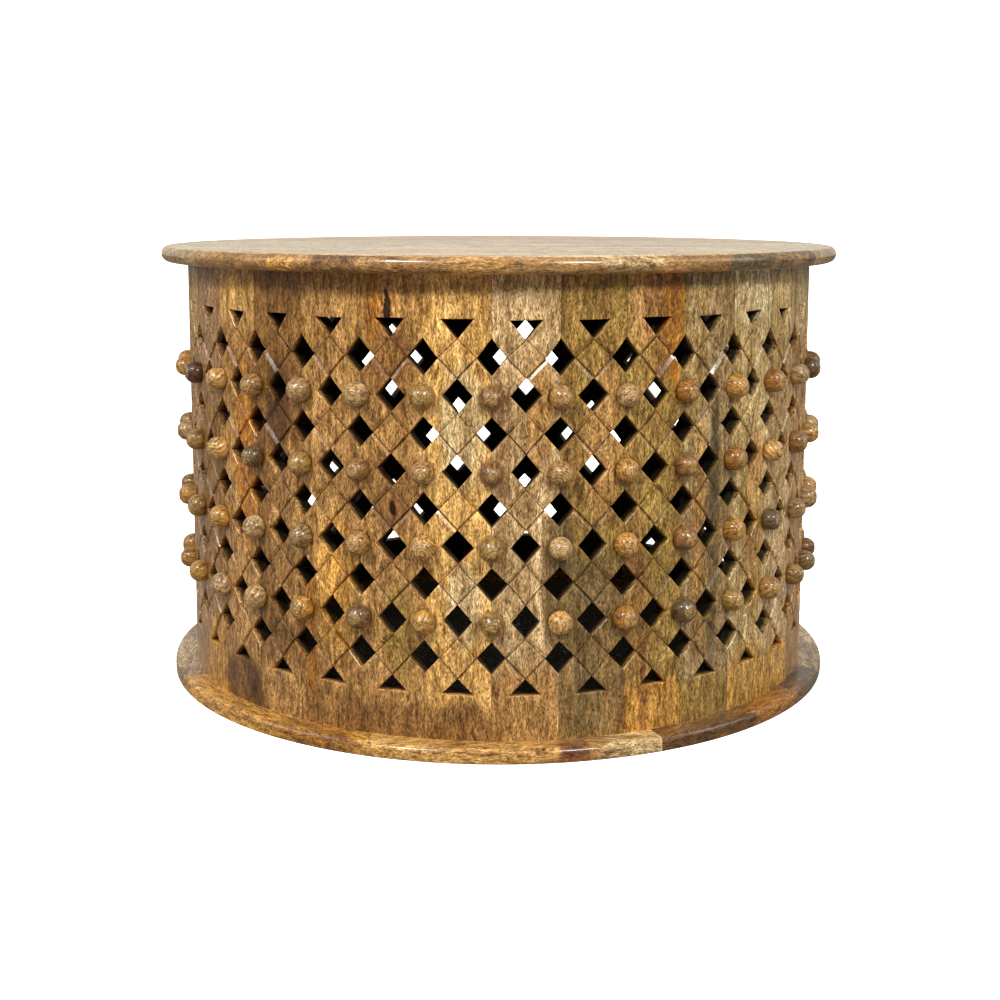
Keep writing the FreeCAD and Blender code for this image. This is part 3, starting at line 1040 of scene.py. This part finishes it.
# %% Lacquered boards
LACQUER = {"Coat Roughness": 0.14, "IOR": 1.5, "Specular IOR Level": 0.25}
COAT = 0.5
COAT_WEAR = 0.9
COAT_INSIDE = (0.02, 0.15)
WOOD_ROUGHNESS = 0.36
PORE_ROUGHNESS = 0.2
BARE_ROUGHNESS = 0.3
GRAIN_HEIGHT = 0.6
WOOD_BUMP = {"Strength": 0.3, "Distance": 0.3 * MM}


def mango_wood(name):
    """The wood of boards. Tones, patches and knots come from the piece's own attributes."""
    material = bpy.data.materials.new(name)
    wood = Shader(material)
    board = wood.attribute("board")
    places, distances = swirled(wood, board)
    colour, grain, bands, pores = grained(wood, grain_place(wood, places))
    colour, polish = knotted(wood, colour, distances, grain, bands)
    inside = wood.attribute("inside", "Fac")
    # Painted shade inside the holes and on the drum's inside face; the same mask makes that bare wood
    # rougher.
    bare_and_shade = wood.steps(inside, *BARE_AND_SHADE_EDGE)
    outside = 1 - wood.steps(inside, *COAT_INSIDE)
    surface = {
        "Base Color": used_and_shaded(wood, colour, board, bare_and_shade),
        "Roughness": WOOD_ROUGHNESS + pores * PORE_ROUGHNESS + bare_and_shade * BARE_ROUGHNESS,
        "Coat Weight": outside * (1 - wood.attribute("wear", "Fac") * COAT_WEAR) * polish * COAT,
        "Normal": wood.node("Bump", {}, {"Height": grain * GRAIN_HEIGHT - pores, **WOOD_BUMP}),
    }
    lacquered = wood.node("BsdfPrincipled", {}, {**surface, **LACQUER})
    wood.node("OutputMaterial", {}, {"Surface": lacquered})
    return material


finishes = {slot: mango_wood(slot) for slot in sorted(set(slot_of.values()))}
print("finishes:", ", ".join(finishes))

# %% [markdown]
# A knob is turned from a stick, so its grain runs along it as streaks, and its flat end shows the growth
# rings as curls. The rings are drawn round a line along the knob, in the two tones of the knob, and
# stirred by noise. The flat end is lighter, with painted shade in the thin crease round it, and the lacquer
# is a little glossier than on the boards.

# %% Turned knobs
RING_WIDTH = 2.6 * MM
RING_STIR_RATE = (85, 30)
RING_STIR = 6 * MM
RING_FLATTEN = (1, 1, 0.12)
RING_STRENGTH = 0.6
STIR_STRENGTH = 0.8
KNOB_STREAK_RATE = (260, 26)
KNOB_STREAK_ROUGHNESS = 0.6
KNOB_FIBRE_RATE = (620, 90)
STREAK_SHARE = 0.65
KNOB_FIBRE_STRENGTH = 4.2
CAP_TONE = (*tone(186, 152, 96), 1)
CAP_SHARE = 0.5
CAP_CREASE_PAINTED_SHADE = 1.6
KNOB_LACQUER = {**LACQUER, "Coat Weight": 0.55, "Coat Roughness": 0.13}
KNOB_ROUGHNESS = 0.34
KNOB_FIBRE_ROUGHNESS = 0.08
KNOB_BUMP = {"Strength": 0.15, "Distance": 0.3 * MM}


def turned_wood(name):
    """The wood of the knobs."""
    material = bpy.data.materials.new(name)
    wood = Shader(material)
    board = wood.attribute("board")
    seeded = wood.vector("ADD", board, wood.attribute("seed"))
    stir = wood.noise(seeded, *RING_STIR_RATE, detail=2) - NOISE_MIDDLE
    streaks = wood.noise(seeded, *KNOB_STREAK_RATE, detail=3, roughness=KNOB_STREAK_ROUGHNESS)
    fibres = wood.noise(seeded, *KNOB_FIBRE_RATE, detail=1)
    flat = wood.vector("MULTIPLY", board, RING_FLATTEN)
    rings = wood.ripples(wood.length(flat) + stir * RING_STIR, RING_WIDTH)
    cap = wood.attribute("cap", "Fac")
    colour = wood.blend(cap * CAP_SHARE, wood.attribute("tone", "Color"), CAP_TONE)
    figure = rings * RING_STRENGTH + stir * STIR_STRENGTH
    colour = wood.blend(figure, colour, wood.attribute("figure", "Color"))
    mixed = streaks * STREAK_SHARE + fibres * (1 - STREAK_SHARE)
    colour = fibred(wood, colour, mixed, KNOB_FIBRE_STRENGTH)
    surface = {
        # Painted shade in the crease round the flat end.
        "Base Color": wood.scale(colour, 1 - cap * (1 - cap) * CAP_CREASE_PAINTED_SHADE),
        "Roughness": KNOB_ROUGHNESS + fibres * KNOB_FIBRE_ROUGHNESS,
        "Normal": wood.node("Bump", {}, {"Height": fibres, **KNOB_BUMP}),
    }
    lacquered = wood.node("BsdfPrincipled", {}, {**surface, **KNOB_LACQUER})
    wood.node("OutputMaterial", {}, {"Surface": lacquered})
    return material


turned_slots = sorted({slot_of[node] for node in knob_rings})
knob_finishes = {slot: turned_wood(f"turned_{slot}") for slot in turned_slots}
print("knob finishes:", ", ".join(knob_finishes))

# %% [markdown]
# Now every piece gets its tones. The staves that the photograph shows follow it, with places in millimetres
# on the flat stave: across from its middle, and along from its foot. The others continue the mix, drawn
# with a fixed seed, so that the table looks the same on each run.

# %% Tones of the staves
STAVE_LOOKS = {
    1: ("fawn", "brown", [("tan", 0, 20, 60, 70), ("tan", 14, 330, 14, 60), ("moss", 28, 170, 14, 80)]),
    2: ("olive", "brown", [("tan", 10, 300, 24, 90), ("moss", 0, 100, 60, 110), ("slate", -30, 200, 10, 70)]),
    3: ("olive", "russet",
        [("amber", 20, 430, 14, 90), ("tan", -16, 440, 18, 50), ("golden", 0, 20, 60, 40)]),
    4: ("grey", "olive", [("slate", 8, 230, 9, 190), ("tan", -12, 200, 10, 140), ("olive", 0, 20, 60, 30)]),
    5: ("pale", "olive", [("cream", 0, 450, 60, 40), ("tan", 10, 200, 20, 120), ("golden", 0, 20, 60, 50)]),
    6: ("fawn", "olive", [("pale", 0, 440, 60, 60), ("golden", 0, 20, 60, 40)]),
    7: ("tan", "grey", [("pale", 0, 440, 60, 60)]),
    28: ("rosy", "tan", [("pale", 0, 440, 60, 60)]),
    29: ("rosy", "tan", [("golden", 10, 30, 40, 60), ("brown", 0, 220, 60, 140)]),
    30: ("tan", "brown", [("honey", 0, 450, 60, 40), ("orange", 14, 275, 22, 110), ("dark", 0, 10, 60, 50)]),
    31: ("brown", "dark", [("dark", 0, 330, 20, 60), ("tan", 8, 200, 24, 110), ("tan", 0, 20, 60, 40)]),
    32: ("tan", "brown", [("golden", 6, 150, 26, 90), ("amber", -26, 90, 8, 90), ("brown", 0, 10, 60, 36)]),
    33: ("tan", "brown", [("amber", -18, 440, 8, 60), ("brown", 2, 236, 22, 30), ("olive", 10, 110, 20, 60),
                          ("brown", 0, 10, 60, 30), ("brown", 0, 388, 24, 36)],
         [(-3, 0, 438, 1.15), (2, 0, 236, 0.6)]),
    34: ("honey", "brown", [("pale", 4, 320, 24, 70), ("pale", 6, 140, 20, 50), ("brown", 0, 6, 60, 36)],
         [(11, 6, 26, 0.6)]),
}
MIXED_LOOKS = [
    ("honey", "brown"),
    ("tan", "brown", [("golden", 12, 200, 18, 140)]),
    ("golden", "brown", [("amber", -10, 300, 18, 120)]),
    ("olive", "brown", [("pale", 14, 120, 16, 140)]),
    ("brown", "dark", [("tan", 0, 60, 30, 90)]),
    ("tan", "brown", [], [(6, -1, 300, 0.8)]),
    ("pale", "olive", [("grey", -12, 240, 14, 160)]),
    ("grey", "brown", [("honey", 10, 100, 20, 120)]),
]
TONE_SEED = 11
chance = random.Random(TONE_SEED)


def finish(piece, node, material_of=finishes):
    """Give a finished piece the material of its slot and its body, and hide the plain piece that it stands
    for.
    """
    piece.data.materials.clear()
    piece.data.materials.append(material_of[slot_of[node]])
    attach(piece, "root")
    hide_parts(node)


for number in range(1, STAVE_COUNT + 1):
    node = f"stave_{number:02d}"
    look = STAVE_LOOKS.get(number) or chance.choice(MIXED_LOOKS)
    dress(staves[node], *look, half_width=STAVE_HALF_WIDTH)
    finish(staves[node], node)
print(len(STAVE_LOOKS), "staves follow the photograph,", STAVE_COUNT - len(STAVE_LOOKS), "continue the mix")

# %% [markdown]
# Each knob comes from a stick of its own, so its tone doesn't follow the staves beside it. The tones are
# mixed by chance, apart from a few dark or orange knobs that stand out in the photograph.

# %% Tones of the knobs
KNOB_TONES = ("golden", "tan", "fawn", "olive", "honey", "grey", "fawn", "golden", "brown")
KNOB_FIGURES = ("brown", "dark", "brown", "dark")
ODD_KNOBS = {
    "knob_ring_1": {3: "amber", 5: "amber", 7: "slate", 28: "walnut"},
    "knob_ring_2": {4: "amber", 30: "slate"},
    "knob_ring_3": {5: "slate", 11: "walnut"},
    "knob_ring_4": {2: "amber", 3: "slate", 32: "slate"},
}

for node, knobs in knob_rings.items():
    for number, knob in enumerate(knobs, start=1):
        main = chance.choice(KNOB_TONES)
        dress(knob, ODD_KNOBS[node].get(number, main), chance.choice(KNOB_FIGURES))
    finish(join(knobs, f"turned_{node}"), node, knob_finishes)
print(sum(map(len, ODD_KNOBS.values())), "knobs stand out")

# %% [markdown]
# The planks are given pale tones on the top, which stand partly for a painted sheen of the lacquer there,
# and darker ones on the rim. So each plank has a tone of its own for its rim, and the patches on the front
# planks keep to the rim too.

# %% Tones of the top
# Painted sheen: the planks' pale main tones stand partly for the lacquer's sheen on the top.
PLANK_LOOKS = (
    ("pale", "tan", [("golden", 0, -235, 90, 22), ("tan", 0, -30, 90, 52), ("grey", 0, 110, 90, 50),
                     ("slate", 0, 260, 90, 60), ("dark", 0, -155, 90, 64)],
     [(-42, 9, 142, 0.5)]),
    ("pale", "tan", [("slate", 0, 300, 90, 120)]),
    ("cream", "grey"),
    ("pale", "grey"),
    ("cream", "tan"),
    ("pale", "grey"),
    ("honey", "tan"),
    ("pale", "grey", [], [(10, 0, -90, 0.6)]),
    ("honey", "tan"),
)
PLANK_RIMS = ("brown", "brown", "grey", "golden", "brown", "tan", "honey", "brown", "dark")

for (node, plank), look, rim in zip(planks.items(), PLANK_LOOKS, PLANK_RIMS):
    dress(plank, *look, half_width=PLANK_WIDTH / 2, rim=rim)
    finish(plank, node)
print("the rim runs from", PLANK_RIMS[0], "at the front to", PLANK_RIMS[-1], "at the back")

# %% [markdown]
# The boards of the ring have the same mix of tones as the staves, and the hidden glue blocks are plain.

# %% Tones of the base ring and the blocks
BOARD_LOOKS = (
    ("honey", "brown", [("russet", 10, 60, 30, 18), ("pale", 0, 130, 60, 50)], [(6, 3, 28, 0.6)]),
    ("dark", "brown", [("amber", 10, 20, 40, 50), ("slate", 0, 130, 60, 40)]),
    ("grey", "brown", [("pale", 10, 0, 60, 60)]),
    ("tan", "brown"),
    ("golden", "brown", [], [(30, 0, 40, 0.8)]),
    ("brown", "dark"),
    ("grey", "brown", [("pale", 10, 60, 60, 60)]),
    ("golden", "brown", [("amber", 10, 90, 60, 50)]),
)
for (node, board), look in zip(ring_boards.items(), BOARD_LOOKS):
    dress(board, *look)
    finish(board, node)

for node, parts in blocks.items():
    for block in parts:
        dress(block, "tan", "brown")
    finish(join(parts, f"planed_{node}"), node)
print(len(BOARD_LOOKS), "boards and", len(blocks), "sets of blocks have their tones")

# %% [markdown]
# The stage is a plain white floor, like a photographer's sweep. The camera sees it as white as the
# background, apart from the contact shadow, which ambient occlusion draws. Every other ray meets a duller
# floor, as in a room, so that dark wood keeps its depth.

# %% Floor
FLOOR_SIZE = 30
CONTACT_REACH = 1.2
CONTACT_SAMPLES = 12
CONTACT_EDGE = (0.2, 0.62)
FLOOR_GLOW = 3.4
FLOOR_GLOW_SHARE = 0.65
PALE_FLOOR = (0.9, 0.9, 0.9, 1)
UNLIT_FLOOR = (0.002, 0.0015, 0.001, 1)
DULL_FLOOR = (0.32, 0.29, 0.25, 1)

ground = started(bpy.ops.mesh.primitive_plane_add, "floor", size=FLOOR_SIZE)
paint = bpy.data.materials.new("white_floor")
sweep = Shader(paint)
open_share = sweep.node("AmbientOcclusion", {"samples": CONTACT_SAMPLES}, {"Distance": CONTACT_REACH}, "AO")
lit = sweep.blend(sweep.steps(open_share, *CONTACT_EDGE), UNLIT_FLOOR, PALE_FLOOR)
glow = sweep.node("Emission", {}, {"Color": lit, "Strength": FLOOR_GLOW})
pale = sweep.node("BsdfDiffuse", {}, {"Color": lit})
dull = sweep.node("BsdfDiffuse", {}, {"Color": DULL_FLOOR})
seen = sweep.node("LightPath", {}, {}, "Is Camera Ray")
bright = sweep.node("MixShader", {}, {0: FLOOR_GLOW_SHARE, 1: pale, 2: glow})
sweep.node("OutputMaterial", {}, {"Surface": sweep.node("MixShader", {}, {0: seen, 1: dull, 2: bright})})
ground.data.materials.append(paint)
print("the floor shows a contact shadow", CONTACT_REACH, "m round the table")

# %% [markdown]
# The room is white to the camera, dim to the lacquer, and darker still as a light. Two key lights stand high
# in front, to the left and right of the camera, and make the highlights on knobs and carving. A wide light
# on each side fills the shadows, one overhead brightens the top and leaves a soft shadow under its rim,
# and one lights the back, which the lacquer doesn't mirror.

# %% Room and lights
WHITE = (1, 1, 1, 1)
BACKGROUND = 2.6
GLOSS_ROOM = 0.6
AMBIENT = 0.14
SUBJECT = Vector((0, 0, 0.27))
LIGHTS = {
    "right_light": {"place": (0.95, -2.15, 1.8), "size": 0.45, "power": 38},
    "left_light": {"place": (-1.25, -1.75, 2.05), "size": 0.55, "power": 42},
    "right_fill": {"place": (2.5, -0.7, 1.6), "size": 1.2, "power": 17},
    "left_fill": {"place": (-2.5, -0.7, 1.6), "size": 1.2, "power": 17},
    "overhead_light": {"place": (0, -0.4, 2.6), "size": 1.6, "power": 11},
    "back_light": {"place": (0.3, 2.7, 1.5), "size": 1.4, "power": 30},
}

world = bpy.data.worlds.new("white_room")
bpy.context.scene.world = world
room = Shader(world)
in_view = room.node("LightPath", {}, {}, "Is Camera Ray")
in_gloss = room.node("LightPath", {}, {}, "Is Glossy Ray")
level = AMBIENT + in_view * (BACKGROUND - AMBIENT) + in_gloss * (GLOSS_ROOM - AMBIENT)
sky = room.node("Background", {}, {"Color": WHITE, "Strength": level})
room.node("OutputWorld", {}, {"Surface": sky})


def soft_light(name, place, size, power):
    """A square area light that faces the table."""
    light = bpy.data.lights.new(name, "AREA")
    light.size = size
    light.energy = power
    lamp = bpy.data.objects.new(name, light)
    bpy.context.scene.collection.objects.link(lamp)
    turn = (SUBJECT - Vector(place)).to_track_quat("-Z", "Y").to_matrix().to_4x4()
    lamp.matrix_world = Matrix.Translation(place) @ turn
    return lamp


lamps = {name: soft_light(name, **light) for name, light in LIGHTS.items()}
lamps["back_light"].visible_glossy = False
bpy.context.scene.view_settings.view_transform = "Standard"
print(len(lamps), "soft lights")
